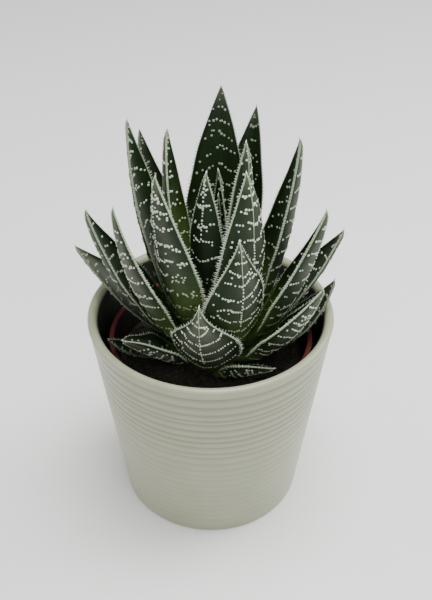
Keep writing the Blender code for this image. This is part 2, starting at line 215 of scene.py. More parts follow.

# How a leaf is marked. The bands of pearls on its outer face lie this far apart, and their ends are bent
# this far towards the tip, in millimetres. Strung runs from 0, single pearls, to 1, long strings. Keel is
# the share of the leaf, from its tip, with a whole pale line, and margin how wide its rim is. The two after
# it say how grey the outer and the inner face are: partly the leaf's own waxy coat, partly painted sheen,
# and painted light on leaves that lie in shade and painted shade on leaves that others shade. Pale is how
# light its rim, teeth and pearls are. The next says up to which share the leaf is yellow-green, there
# painted brighter than its own colour as painted light that shines through the leaves. The next makes the
# outer face greyer towards one margin, as painted light on the side where light falls, and strays is how
# many pearls lie loosely about each band.
Marks = namedtuple(
    "Marks",
    "spacing bend strung keel margin bloom dust pale sallow lean strays",
    defaults=(0, USUAL_STRAYS),
)
USUAL_MARKS = Marks(9.5, 1, 0.3, 0.3, 0.4, 0.6, 0, 0.7, 0.5)
MARKS = {
    1: Marks(9, 1, 0, 0.3, 0.3, 0.1, 0, 0.8, 0.4),
    2: Marks(9, 1, 0.1, 0.4, 0.35, 0.1, 0, 0.8, 0.4),
    3: Marks(11, 1, 0.35, 0.05, 0.35, 0, 0, 1, 0.4, 0, 2),
    4: Marks(9, 2, 0.4, 0.4, 0.4, 0.22, 0, 0.9, 0.45, 0.9, 3),
    5: Marks(9, 1, 0.3, 0.9, 0.5, 1.5, 0.1, 0.95, 0.85),
    6: Marks(9.5, 1, 0.2, 0.3, 0.4, 0.35, 0, 0.48, 0.55),
    7: Marks(10, 2, 0.35, 0.35, 0.4, 0.2, 0, 1, 0.4, 0.9, 5),
    8: Marks(9.8, 1, 0.15, 0.1, 0.42, 0.4, 0, 1, 0.6, 0.15, 14),
    9: Marks(9, 1, 0.5, 0.3, 0.85, 0.5, 0, 0.7, 0.5),
    10: Marks(9.5, 1, 0.2, 0.3, 0.4, 0.5, 0, 0.42, 0.5),
    11: Marks(9.5, 1, 0.4, 0.3, 0.85, 0.5, 0, 0.7, 0.5),
    12: Marks(9.5, 1, 0.2, 0.3, 0.45, 0.5, 0.25, 0.42, 0.5),
    13: Marks(8.2, 4, 0.65, 0.28, 0.42, 0.28, 0, 1, 0.55, 1.4, 2),
    14: Marks(8.5, 1.5, 0.5, 0.2, 0.55, 0.52, 0, 0.9, 0.5, 0, 3),
    15: Marks(8.5, 1, 0.35, 0.15, 0.42, 0.85, 0, 1, 0.5, 0, 3),
    16: Marks(9, 1, 0.4, 0.3, 0.65, 0.7, 0.2, 0.75, 0.4),
    18: Marks(7.4, 5, 0.8, 0.3, 0.42, 0.75, 0, 1, 0.4, 0, 1),
    19: Marks(7, 1.5, 0.75, 0.2, 0.5, 0.6, 0, 1, 0.4, 0, 3),
    20: Marks(9, 1, 0.3, 0.3, 0.45, 0.7, 0.7, 0.55, 0.4),
    21: Marks(6.5, 1, 0.4, 0.2, 0.42, 2.4, 0.9, 0.9, 0.3, 0.3, 4),
    22: Marks(5, 1, 0.5, 0.2, 0.42, 0.7, 0.3, 0.9, 0.4, 0, 3),
    23: Marks(9, 1, 0.3, 0.3, 0.4, 0.5, 0.35, 0.45, 0.6),
    24: Marks(8, 1, 0.3, 0.3, 0.3, 0.3, 0.1, 0.35, 0.6),
}

# Light: the strength of the room, and of each lamp its place, aim, width, watts and colour.
ROOM = 0.55
LAMPS = {
    "ceiling lamp": ((0.12, 0, 1.08), (0, -0.1, 0), 0.65, 12, "#ffffff"),
    "right window": ((1, 0.35, 0.8), (0, 0, 0.1), 0.9, 10, "#ffffff"),
    "front window": ((0.15, -1, 1), (0, 0, 0.1), 1.2, 7, "#ffffff"),
    "left window": ((-1.1, 0.15, 0.65), (0, 0, 0.1), 1, 4, "#fffaf2"),
}

# The photograph's camera: its lens and frame in millimetres, how far down it looks, from how far, and at
# what point.
LENS = 60
LENS_FRAME = 36
PITCH = math.radians(37.5)
DISTANCE = 0.524
AIM = Vector((0.0028, 0, 0.125))


def linear(hex_colour):
    """A hex sRGB colour as linear red, green, blue and alpha."""
    values = [int(hex_colour[i : i + 2], 16) / 255 for i in (1, 3, 5)]
    curved = [v / 12.92 if v <= 0.04045 else ((v + 0.055) / 1.055) ** 2.4 for v in values]
    return (*curved, 1)


def set_inputs(tree, node, inputs):
    """Sets a node's own sockets: each takes a number, a hex colour or an output to link."""
    for name, value in inputs.items():
        if isinstance(value, bpy.types.NodeSocket):
            tree.links.new(value, node.inputs[name])
        else:
            node.inputs[name].default_value = linear(value) if isinstance(value, str) else value


def add_node(tree, kind, inputs, output, **settings):
    """Adds one node with its inputs and settings, and returns its named output."""
    node = tree.nodes.new(kind)
    for name, value in settings.items():
        setattr(node, name, value)
    set_inputs(tree, node, inputs)
    return node.outputs[output]


def new_material(name):
    """A material, its node tree, its Principled shader and its Object coordinates, in metres."""
    material = bpy.data.materials.new(name)
    material.use_nodes = True
    tree = material.node_tree
    where = add_node(tree, "ShaderNodeTexCoord", {}, "Object")
    return material, tree, tree.nodes["Principled BSDF"], where


def wear(piece, *materials):
    """Gives a piece its materials. Only old ones are cleared, because that resets the slot of each face."""
    if piece.data.materials:
        piece.data.materials.clear()
    for material in materials:
        piece.data.materials.append(material)


def seat(piece, node):
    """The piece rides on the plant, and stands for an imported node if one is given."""
    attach(piece, "root")
    if node:
        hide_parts(node)


def drawn_up(name, rings, sides):
    """A round solid drawn up from a disc, ring by ring: rings holds the (radius, height) of each."""
    bpy.ops.object.select_all(action="DESELECT")
    radius, height = rings[0]
    bpy.ops.mesh.primitive_circle_add(
        vertices=sides, radius=radius, fill_type="NGON", location=(0, 0, height)
    )
    piece = bpy.context.object
    piece.name = name
    piece.data.name = name
    bpy.ops.object.transform_apply()
    bpy.ops.object.mode_set(mode="EDIT")
    bpy.ops.mesh.select_all(action="SELECT")
    for next_radius, next_height in rings[1:]:
        rise = (0, 0, next_height - height)
        bpy.ops.mesh.extrude_region_move(TRANSFORM_OT_translate={"value": rise})
        grow = next_radius / radius
        bpy.ops.transform.resize(value=(grow, grow, 1), center_override=(0, 0, next_height))
        radius, height = next_radius, next_height
    bpy.ops.mesh.select_all(action="SELECT")
    bpy.ops.mesh.normals_make_consistent(inside=False)
    bpy.ops.object.mode_set(mode="OBJECT")
    bpy.ops.object.shade_smooth_by_angle(angle=math.radians(40))
    return piece


def arc(centre_radius, centre_height, radius, start, end, steps):
    """Points of (radius, height) round an arc, in degrees from straight outwards towards straight up."""
    angles = [math.radians(start + (end - start) * i / steps) for i in range(steps + 1)]
    return [
        (centre_radius + radius * math.cos(a), centre_height + radius * math.sin(a)) for a in angles
    ]


def cover_radius(height):
    """The cover pot's outer radius at a height, between its grooves."""
    return COVER_BASE_RADIUS + (COVER_RIM_RADIUS - COVER_BASE_RADIUS) * height / COVER_HEIGHT


def groove_heights():
    """All the grooves from the rim to the foot: the measured ones, and then a slightly uneven pitch."""
    rng = np.random.default_rng(SEED)
    heights = [height * MM for height in GROOVE_HEIGHTS]
    while heights[-1] > GROOVE_LAST + GROOVE_PITCH:
        heights.append(heights[-1] - GROOVE_PITCH * rng.uniform(0.8, 1.2))
    return heights


def groove_depth(height, grooves):
    """How deep the wall lies below its crests: soft swells that meet in narrow grooves."""
    raised = (height - GROOVE_FAINT_AT) / (GROOVE_FULL_AT - GROOVE_FAINT_AT)
    fade = GROOVE_FADED + (1 - GROOVE_FADED) * min(1, max(0, raised)) ** 1.5
    if height >= grooves[0]:
        past = (height - grooves[0]) / FIRST_GROOVE_RUN_OUT
        return GROOVE_DEPTH * fade * max(0, 1 - past) ** 2
    if height < grooves[-1]:
        past = (grooves[-1] - height) / LAST_GROOVE_RUN_OUT
        return GROOVE_DEPTH * fade * max(0, 1 - past) ** 2
    below = max(groove for groove in grooves if groove <= height)
    above = min(groove for groove in grooves if groove > height)
    along = (height - below) / (above - below)
    return GROOVE_DEPTH * fade * (1 - math.sin(math.pi * along) ** 0.9)


def cover_outline():
    """Round foot, grooved wall, round lip, smooth inner wall, and the bend to the floor inside."""
    grooves = groove_heights()
    foot, lip, bend = COVER_FOOT_ROUND, COVER_WALL / 2, COVER_INNER_BEND
    wall_foot, wall_top = 1.4 * foot, COVER_HEIGHT - lip
    rings = arc(cover_radius(foot) - foot, foot, foot, -90, -10, 5)
    steps = int((wall_top - 2 * foot) / GROOVE_STEP)
    for i in range(steps + 1):
        height = wall_foot + (wall_top - wall_foot) * i / steps
        rings.append((cover_radius(height) - groove_depth(height, grooves), height))
    rings += arc(COVER_RIM_RADIUS - lip, wall_top, lip, 12, 168, 12)
    inner_foot = cover_radius(COVER_FLOOR) - COVER_WALL
    inner_top = COVER_RIM_RADIUS - COVER_WALL
    high, low = wall_top - 0.8 * MM, COVER_FLOOR + bend
    steps = 19
    for i in range(steps + 1):
        height = high - (high - low) * i / steps
        down = (COVER_HEIGHT - height) / (COVER_HEIGHT - COVER_FLOOR)
        rings.append((inner_top + (inner_foot - inner_top) * down, height))
    rings += arc(inner_foot - bend, COVER_FLOOR + bend, bend, -15, -90, 6)
    return rings


def glaze_material():
    """Satin sage glaze on thrown stoneware: soft sheen, a faint mottle, deeper in the grooves. The inside
    below the lip is painted nearly black as painted shade, and the foot is bare, where the pot stood in the
    kiln."""
    material, tree, shader, where = new_material("sage satin glaze, thrown stoneware")
    mottle = add_node(
        tree, "ShaderNodeTexNoise", {"Vector": where, "Scale": 1 / (14 * MM), "Detail": 1}, "Fac"
    )
    tone = add_node(
        tree, "ShaderNodeMix", {"Factor": mottle, "A": "#92967c", "B": "#9ea288"}, "Result", data_type="RGBA"
    )
    groove = add_node(tree, "ShaderNodeAttribute", {}, "Fac", attribute_name="groove")
    pooled = add_node(
        tree, "ShaderNodeMix", {"Factor": groove, "A": tone, "B": "#81846c"}, "Result", data_type="RGBA"
    )
    # Painted shade: the inside below the lip is painted nearly black.
    inner = add_node(tree, "ShaderNodeAttribute", {}, "Fac", attribute_name="inside")
    with_painted_inside_shade = add_node(
        tree, "ShaderNodeMix", {"Factor": inner, "A": pooled, "B": "#282e27"}, "Result", data_type="RGBA"
    )
    height = add_node(tree, "ShaderNodeSeparateXYZ", {0: where}, "Z")
    foot = add_node(
        tree,
        "ShaderNodeMapRange",
        {"Value": height, "From Min": 0.2 * MM, "From Max": 0.5 * MM, "To Min": 1, "To Max": 0},
        "Result",
    )
    colour = add_node(
        tree, "ShaderNodeMix", {"Factor": foot, "A": with_painted_inside_shade, "B": "#c9b79c"}, "Result", data_type="RGBA"
    )
    gloss = add_node(tree, "ShaderNodeMapRange", {"Value": mottle, "To Min": 0.26, "To Max": 0.34}, "Result")
    bump = add_node(
        tree, "ShaderNodeBump", {"Height": mottle, "Strength": 0.2, "Distance": 0.3 * MM}, "Normal"
    )
    set_inputs(tree, shader, {"Base Color": colour, "Roughness": gloss, "Normal": bump, "IOR": 1.5})
    return material


def set_attribute(mesh, name, values):
    attribute = mesh.attributes.new(name, "FLOAT", "POINT")
    attribute.data.foreach_set("value", np.asarray(values, dtype=np.float32))


def make_cover_pot():
    piece = drawn_up("glazed_cover_pot", cover_outline(), COVER_SIDES)
    grooves = groove_heights()
    depths, inside = [], []
    for vertex in piece.data.vertices:
        height = vertex.co.z
        radius = math.hypot(vertex.co.x, vertex.co.y)
        outer_face = radius > cover_radius(height) - 1.5 * GROOVE_DEPTH
        on_wall = COVER_FOOT_ROUND < height < COVER_HEIGHT - COVER_WALL / 2
        depths.append(groove_depth(height, grooves) / GROOVE_DEPTH if outer_face and on_wall else 0)
        # The inside below the lip is marked for painted shade.
        inner_face = radius < cover_radius(height) - 0.8 * COVER_WALL
        below_lip = COVER_FLOOR / 2 < height < COVER_HEIGHT - LIP_GLAZE
        inside.append(1 if inner_face and below_lip else 0)
    set_attribute(piece.data, "groove", depths)
    set_attribute(piece.data, "inside", inside)
    wear(piece, glaze_material())
    seat(piece, "cover_pot")


def nursery_radius(height):
    """The nursery pot's outer radius at a height above its base, below its lip."""
    rim = NURSERY_HIGH.x - NURSERY_LIP_STEP
    share = height / (NURSERY_HIGH.z - NURSERY_LOW.z)
    return NURSERY_BASE_RADIUS + (rim - NURSERY_BASE_RADIUS) * share


def nursery_outline():
    """Foot, wall, stepped lip with a bead round its top, and the inner wall down to the floor."""
    base, top = NURSERY_LOW.z, NURSERY_HIGH.z
    full = top - base
    lip_foot = full - NURSERY_LIP_DEPTH
    wall, foot, lip = NURSERY_WALL, NURSERY_FOOT_ROUND, NURSERY_LIP_ROUND
    rim = NURSERY_HIGH.x
    band = rim - NURSERY_BEAD_STEP
    rings = [(NURSERY_BASE_RADIUS - 1 * MM, base)]
    rings += arc(NURSERY_BASE_RADIUS - foot, base + 0.9 * MM, foot, -60, 0, 3)
    rings += [(nursery_radius(full * i / 8), base + full * i / 8) for i in range(1, 7)]
    rings += [
        (nursery_radius(lip_foot), base + lip_foot),
        (band - 0.2 * MM, base + lip_foot + 0.1 * MM),
        (band, base + lip_foot + 0.6 * MM),
        (band, top - NURSERY_BEAD_DEPTH - NURSERY_BEAD_STEP),
        (rim, top - NURSERY_BEAD_DEPTH),
    ]
    rings += arc(rim - lip, top - lip, lip, 0, 90, 4)
    inner_rim = nursery_radius(full) - wall
    rings += arc(inner_rim + lip, top - lip, lip, 90, 180, 4)
    rings.append((inner_rim - 0.1 * MM, top - 2 * MM))
    rings.append((nursery_radius(lip_foot) - wall, base + lip_foot))
    rings.append((nursery_radius(NURSERY_FLOOR) - wall, base + NURSERY_FLOOR))
    return rings


def cut_with(piece, cutter):
    """Cuts one closed shape out of a piece and removes it."""
    boolean = piece.modifiers.new("cut", "BOOLEAN")
    boolean.operation = "DIFFERENCE"
    boolean.solver = "EXACT"
    boolean.object = cutter
    bpy.ops.object.select_all(action="DESELECT")
    piece.select_set(True)
    bpy.context.view_layer.objects.active = piece
    bpy.ops.object.modifier_apply(modifier=boolean.name)
    bpy.data.objects.remove(cutter, do_unlink=True)


def upright_cylinder(x, y, low, high, radius, sides):
    bpy.ops.object.select_all(action="DESELECT")
    bpy.ops.mesh.primitive_cylinder_add(
        vertices=sides, radius=radius, depth=high - low, location=(x, y, (low + high) / 2)
    )
    return bpy.context.object


def plastic_material():
    """Polypropylene, injection moulded in a dark terracotta red: dull, with a moulded grain that is drawn
    coarser than life to show. The inside below the lip is painted dark brown, as painted shade inside the
    pot."""
    material, tree, shader, where = new_material("terracotta polypropylene, injection moulded")
    clouds = add_node(
        tree, "ShaderNodeTexNoise", {"Vector": where, "Scale": 1 / (6 * MM), "Detail": 4}, "Fac"
    )
    grain = add_node(
        tree, "ShaderNodeTexNoise", {"Vector": where, "Scale": 1 / (0.8 * MM), "Detail": 2}, "Fac"
    )
    clean = add_node(
        tree, "ShaderNodeMix", {"Factor": clouds, "A": "#47130f", "B": "#5c1c16"}, "Result", data_type="RGBA"
    )
    # Painted shade: the inside below the lip is painted dark brown.
    painted_inner_shade = add_node(tree, "ShaderNodeAttribute", {}, "Fac", attribute_name="painted_inner_shade")
    colour = add_node(
        tree, "ShaderNodeMix", {"Factor": painted_inner_shade, "A": clean, "B": "#1e1712"}, "Result", data_type="RGBA"
    )
    bump = add_node(
        tree, "ShaderNodeBump", {"Height": grain, "Strength": 0.25, "Distance": 0.1 * MM}, "Normal"
    )
    set_inputs(tree, shader, {"Base Color": colour, "Roughness": 0.65, "Normal": bump})
    return material


def make_nursery_pot():
    piece = drawn_up("moulded_nursery_pot", nursery_outline(), NURSERY_SIDES)
    for i in range(DRAIN_HOLES):
        angle = i * math.tau / DRAIN_HOLES
        x, y = DRAIN_CIRCLE * math.cos(angle), DRAIN_CIRCLE * math.sin(angle)
        low, high = NURSERY_LOW.z - 1 * MM, NURSERY_LOW.z + NURSERY_FLOOR + 1 * MM
        cut_with(piece, upright_cylinder(x, y, low, high, DRAIN_RADIUS, DRAIN_SIDES))
    # The inside below the lip is marked for painted shade.
    painted_inner_shade = []
    for vertex in piece.data.vertices:
        wall = nursery_radius(vertex.co.z - NURSERY_LOW.z) - NURSERY_WALL / 2
        inner_face = math.hypot(vertex.co.x, vertex.co.y) < wall
        painted_inner_shade.append(1 if inner_face and vertex.co.z < NURSERY_HIGH.z - 1 * MM else 0)
    set_attribute(piece.data, "painted_inner_shade", painted_inner_shade)
    wear(piece, plastic_material())
    seat(piece, "nursery_pot")


def soil_rise(x, y):
    """How far the compost's surface stands above or below its level."""
    mound = noise.noise(Vector((x, y, 0)) / MOUND_WIDTH)
    lump = noise.fractal(Vector((x, y, 3)) / LUMP_WIDTH, 1.0, 2.0, 4)
    return SOIL_HEAVE * (0.9 * mound + 0.55 * lump)


def soil_outline():
    foot = nursery_radius(SOIL_LOW.z - NURSERY_LOW.z) - NURSERY_WALL - SOIL_INSET
    top = nursery_radius(SOIL_LEVEL - NURSERY_LOW.z) - NURSERY_WALL - SOIL_INSET
    rings = [(foot, SOIL_LOW.z), (top, SOIL_LEVEL - 1 * MM)]
    count = int(top / SOIL_RING_STEP) - 1
    rings += [(top - i * SOIL_RING_STEP, SOIL_LEVEL) for i in range(1, count)]
    return rings


def compost_material():
    """Peat compost, sieved and moist: nearly black and crumbly, so that it scatters little light."""
    material, tree, shader, where = new_material("peat compost, sieved and moist")
    crumbs = add_node(
        tree, "ShaderNodeTexNoise", {"Vector": where, "Scale": 1 / (2.4 * MM), "Detail": 8}, "Fac"
    )
    dry = add_node(
        tree, "ShaderNodeMapRange", {"Value": crumbs, "From Min": 0.4, "From Max": 0.7}, "Result"
    )
    colour = add_node(
        tree, "ShaderNodeMix", {"Factor": dry, "A": "#1d1f17", "B": "#383229"}, "Result", data_type="RGBA"
    )
    bump = add_node(
        tree, "ShaderNodeBump", {"Height": crumbs, "Strength": 0.8, "Distance": 1 * MM}, "Normal"
    )
    set_inputs(tree, shader, {"Base Color": colour, "Roughness": 0.92, "Normal": bump})
    return material


def bark_material():
    """Bark chips from the compost: milled wood, dull brown with darker grain."""
    material, tree, shader, where = new_material("bark chips, milled")
    grain = add_node(
        tree, "ShaderNodeTexNoise", {"Vector": where, "Scale": 1 / (1.5 * MM), "Detail": 6}, "Fac"
    )
    colour = add_node(
        tree, "ShaderNodeMix", {"Factor": grain, "A": "#241d15", "B": "#443729"}, "Result", data_type="RGBA"
    )
    set_inputs(tree, shader, {"Base Color": colour, "Roughness": 0.85})
    return material


def make_soil(compost):
    piece = drawn_up("moist_compost", soil_outline(), SOIL_SIDES)
    for vertex in piece.data.vertices:
        if vertex.co.z > SOIL_LEVEL - 0.1 * MM:
            vertex.co.z += soil_rise(vertex.co.x, vertex.co.y)
    wear(piece, compost)
    seat(piece, "soil")


def shape_of(piece):
    """The vertices of a small modelled piece as an array, and its faces; the piece is then removed."""
    vertices = np.array([vertex.co for vertex in piece.data.vertices])
    faces = [tuple(polygon.vertices) for polygon in piece.data.polygons]
    bpy.data.objects.remove(piece, do_unlink=True)
    return vertices, faces


def shifted(faces, offset):
    """Faces of a shape whose points now come after offset others."""
    return [tuple(v + offset for v in face) for face in faces]


def stamped(shape, centres, axes):
    """Copies of a small shape, each at its centre and stretched along its own three axes."""
    vertices, faces = shape
    placed = centres[:, None, :] + np.einsum("vk,nkx->nvx", vertices, axes)
    every = [face for i in range(len(centres)) for face in shifted(faces, i * len(vertices))]
    return placed.reshape(-1, 3), every


def new_piece(name, points, faces, kinds):
    """A piece from its arrays of points, its faces, and the slot of each face's material."""
    mesh = bpy.data.meshes.new(name)
    mesh.from_pydata(np.concatenate(points).tolist(), [], faces)
    mesh.polygons.foreach_set("material_index", kinds)
    piece = bpy.data.objects.new(name, mesh)
    bpy.context.collection.objects.link(piece)
    return piece


def rough_lump(seed):
    """A crumb: a ball with its points moved about at random, about a unit in radius."""
    bpy.ops.object.select_all(action="DESELECT")
    bpy.ops.mesh.primitive_ico_sphere_add(subdivisions=2, radius=1)
    lump = bpy.context.object
    bpy.ops.object.mode_set(mode="EDIT")
    bpy.ops.mesh.select_all(action="SELECT")
    bpy.ops.transform.vertex_random(offset=0.22, seed=seed)
    bpy.ops.object.mode_set(mode="OBJECT")
    return shape_of(lump)


def make_crumbs(compost, bark):
    """Crumbs and bark chips, strewn over the compost between the crown and the nursery pot's wall."""
    rng = np.random.default_rng(SEED + 1)
    reach = nursery_radius(SOIL_LEVEL - NURSERY_LOW.z) - NURSERY_WALL - WALL_CLEAR
    points, faces, kinds = [], [], []
    offset = 0
    for kind, (count, sizes, squash) in enumerate((CRUMBS, CHIPS)):
        shape = rough_lump(kind + 2)
        radius = np.sqrt(rng.uniform(CROWN_CLEAR**2, reach**2, count))
        angle = rng.uniform(0, math.tau, count)
        size = rng.uniform(*sizes, count) * rng.uniform(0.6, 1, count) * MM
        axes = np.empty((count, 3, 3))
        centres = np.empty((count, 3))
        for i in range(count):
            turn = Euler((rng.uniform(-0.4, 0.4), rng.uniform(-0.4, 0.4), rng.uniform(0, 6.3))).to_matrix()
            stretch = size[i] * np.array([1, rng.uniform(0.5, 0.9), squash])
            axes[i] = (np.array(turn) * stretch).T
            x, y = radius[i] * math.cos(angle[i]), radius[i] * math.sin(angle[i])
            centres[i] = (x, y, SOIL_LEVEL + soil_rise(x, y) + 0.3 * squash * size[i])
        placed, more = stamped(shape, centres, axes)
        points.append(placed)
        faces += shifted(more, offset)
        kinds += [kind] * len(more)
        offset += len(placed)
    piece = new_piece("compost_crumbs", points, faces, kinds)
    wear(piece, compost, bark)
    seat(piece, None)


def unit(vectors):
    return vectors / np.linalg.norm(vectors, axis=-1, keepdims=True)


def dot(a, b):
    return (a * b).sum(axis=-1, keepdims=True)


def heading(azimuth):
    return np.array([math.cos(azimuth), math.sin(azimuth), 0])


def spine(leaf):
    """The root, the middle handle and the tip of a leaf's curve."""
    start, end = math.radians(leaf.root_azimuth), math.radians(leaf.tip_azimuth)
    centre = np.array([CROWN_X, 0, 0])
    root = centre + heading(start) * leaf.root_radius * MM
    root[2] = leaf.root_height * MM
    tip = centre + heading(end) * leaf.reach * MM
    tip[2] = leaf.tip_height * MM
    chord = unit(tip - root)
    outward = heading((start + end) / 2)
    bend = unit(outward - chord * outward.dot(chord))
    return root, (root + tip) / 2 + bend * 2 * leaf.bow * MM, tip


def leaf_length(leaf):
    root, handle, tip = spine(leaf)
    chords = np.linalg.norm([handle - root, tip - handle, tip - root], axis=1)
    return chords.sum() / 2


def place(leaf, share):
    """The points, side and upward directions of a leaf at an array of shares."""
    root, handle, tip = spine(leaf)
    s = share[..., None]
    point = root * (1 - s) ** 2 + handle * 2 * s * (1 - s) + tip * s**2
    along = unit((handle - root) * (1 - s) + (tip - handle) * s)
    azimuth = np.radians(leaf.root_azimuth + (leaf.tip_azimuth - leaf.root_azimuth) * share)
    level = np.stack([-np.sin(azimuth), np.cos(azimuth), np.zeros_like(azimuth)], axis=-1)
    side = unit(level - along * dot(level, along))
    upward = np.cross(along, side)
    sway = SWAY * np.sin(share * leaf_length(leaf) / SWAY_LENGTH + leaf.root_azimuth) * share * (1 - share)
    point = point + side * sway[..., None]
    roll = (np.radians(leaf.roll) * share)[..., None]
    turned = side * np.cos(roll) + upward * np.sin(roll)
    return point, turned, upward * np.cos(roll) - side * np.sin(roll)


def half_width(leaf, share):
    """Half a leaf's width: it widens from its root to its widest place, then tapers to its tip."""
    widest = leaf.width * MM / 2
    rising = ROOT_SHARE + (1 - ROOT_SHARE) * np.sin(np.pi / 2 * np.minimum(share, WIDEST_AT) / WIDEST_AT)
    past = np.maximum(0, share - WIDEST_AT) / (1 - WIDEST_AT)
    falling = 1 - past**TAPER + leaf.ogee * np.sin(2 * np.pi * past) * np.sqrt(past)
    return widest * np.where(share < WIDEST_AT, rising, falling)


def channel_slope(share):
    """How steeply the channelled inner face rises where it meets the margins: less so near its root."""
    return 2 * CHANNEL_SHARE * np.minimum(1, 0.35 + 1.6 * share)


def surface(leaf, share, across, face):
    """Points on a leaf's skin, for arrays of shares and acrosses. Its back is roundest at its root."""
    point, side, upward = place(leaf, share)
    half = half_width(leaf, share)
    rise = channel_slope(share) / 2 * half * across**2
    if face < 0:
        thinned = TIP_THICKNESS + (1 - TIP_THICKNESS) * (1 - share) ** 0.9
        thickness = np.minimum(leaf.thickness * MM * thinned, 0.8 * half)
        edge = np.minimum(EDGE_THICKNESS, 0.45 * thickness)
        keel = 1.6 - 0.4 * share
        rise = rise - edge - (thickness - edge) * (1 - np.abs(across) ** keel)
    return point + side * (half * across)[..., None] + upward * rise[..., None]


def bead_radius(leaf, share, marks):
    """The rim is thickest in the lower half of a leaf and thins towards its tip."""
    slim = np.interp(share, [0, 0.5, 1], [1, 1, 0.55])
    return np.minimum(RIM_SHARE * marks.margin * MM * slim, 0.3 * half_width(leaf, share))


def bead_points(leaf, share, sign, marks):
    """The rounded, slightly raised rim along one margin, as rows of points from above to below."""
    half = half_width(leaf, share)
    radius = bead_radius(leaf, share, marks)
    inset = sign * (1 - radius / half)
    above, below = surface(leaf, share, inset, 1), surface(leaf, share, inset, -1)
    side = place(leaf, share)[1]
    middle, lift = (above + below) / 2, (above - below) / 2
    proud = 1 + BEAD_PROUD / np.maximum(np.linalg.norm(lift, axis=-1), BEAD_THINNEST)
    angles = np.linspace(BEAD_WRAP, -BEAD_WRAP, BEAD_POINTS)
    rows = [
        middle + side * (sign * radius * math.cos(a))[:, None] + lift * (proud * math.sin(a))[:, None]
        for a in angles
    ]
    return np.stack(rows, axis=1)


def blade(leaf, marks):
    """The closed skin of a leaf: its points, its faces, which of them are rim, and each point's share,
    across and face."""
    stations = max(FEWEST_STATIONS, round(leaf_length(leaf) / STATION_STEP))
    share = LAST_STATION * np.arange(stations) / (stations - 1)
    half = half_width(leaf, share)
    reach = 1 - bead_radius(leaf, share, marks) * (1 - math.cos(BEAD_WRAP)) / half

    def rows(count, face, order):
        spread = np.linspace(-1, 1, count)[::order]
        across = spread[None, :] * reach[:, None]
        grid = np.broadcast_to(share[:, None], across.shape)
        return surface(leaf, grid, across, face), across, np.full(across.shape, face)

    def bead(sign):
        points = bead_points(leaf, share, sign, marks)[:, ::sign]
        shape = points.shape[:2]
        return points, np.full(shape, float(sign)), np.zeros(shape)

    parts = [rows(FACE_POINTS, 1, 1), bead(1), rows(KEEL_POINTS, -1, -1), bead(-1)]
    points = np.concatenate([part[0] for part in parts], axis=1)
    across = np.concatenate([part[1] for part in parts], axis=1)
    face = np.concatenate([part[2] for part in parts], axis=1)
    around = points.shape[1]
    faces, rims = [], []
    for i in range(stations - 1):
        for j in range(around):
            k = (j + 1) % around
            faces.append((i * around + j, i * around + k, (i + 1) * around + k, (i + 1) * around + j))
            rims.append(face[i, j] == 0 or face[i, k] == 0)
    ends = [points[0].mean(axis=0), place(leaf, np.array([1.0]))[0][0]]
    root, tip = stations * around, stations * around + 1
    for j in range(around):
        k = (j + 1) % around
        faces.append((root, k, j))
        faces.append((tip, (stations - 1) * around + j, (stations - 1) * around + k))
        rims += [False, True]
    shares = np.concatenate([np.repeat(share, around), [0, 1]])
    return (
        np.concatenate([points.reshape(-1, 3), ends]),
        faces,
        rims,
        shares,
        np.concatenate([across.ravel(), [0, 0]]),
        np.concatenate([face.ravel(), [0, 0]]),
    )


def pearl_shape():
    """A pearl: a low dome of eight sides, a unit in radius and in height, with its foot sunk a little."""
    bpy.ops.object.select_all(action="DESELECT")
    bpy.ops.mesh.primitive_cone_add(
        vertices=8, radius1=1, radius2=0.66, depth=1.1, location=(0, 0, 0.15)
    )
    pearl = bpy.context.object
    bpy.ops.object.transform_apply()
    bpy.ops.object.mode_set(mode="EDIT")
    bpy.ops.mesh.select_all(action="DESELECT")
    bpy.ops.object.mode_set(mode="OBJECT")
    for polygon in pearl.data.polygons:
        polygon.select = polygon.normal.z > 0.9
    bpy.ops.object.mode_set(mode="EDIT")
    bpy.ops.mesh.poke(offset=0.3)
    bpy.ops.object.mode_set(mode="OBJECT")
    return shape_of(pearl)


def tooth_shape():
    """A margin tooth along X, hooked towards Y: a stub with each face drawn out, its top one to the tip."""
    bpy.ops.object.select_all(action="DESELECT")
    bpy.ops.mesh.primitive_cone_add(
        vertices=6, radius1=1, radius2=0.6, depth=0.6, rotation=(0, math.pi / 2, 0), location=(0.15, 0, 0)
    )
    tooth = bpy.context.object
    bpy.ops.object.transform_apply()
    bpy.ops.object.mode_set(mode="EDIT")
    bpy.ops.mesh.select_all(action="SELECT")
    bpy.ops.mesh.poke(offset=0.55)
    bpy.ops.object.mode_set(mode="OBJECT")
    for vertex in tooth.data.vertices:
        vertex.co.y += 1.1 * max(0, vertex.co.x) ** 2
    return shape_of(tooth)


def skin_frame(leaf, share, across, face):
    """Points on a leaf's skin, with the directions across it, along it and out of it."""
    step, nudge = 0.002, 0.01
    here = surface(leaf, share, across, face)
    ahead = surface(leaf, np.minimum(share + step, 1), across, face)
    behind = surface(leaf, np.maximum(share - step, 0), across, face)
    right = surface(leaf, share, across + nudge, face)
    left = surface(leaf, share, across - nudge, face)
    along, over = unit(ahead - behind), unit(right - left)
    out = unit(np.cross(over, along)) * -face
    return here, over, unit(np.cross(out, over)) * -face, out


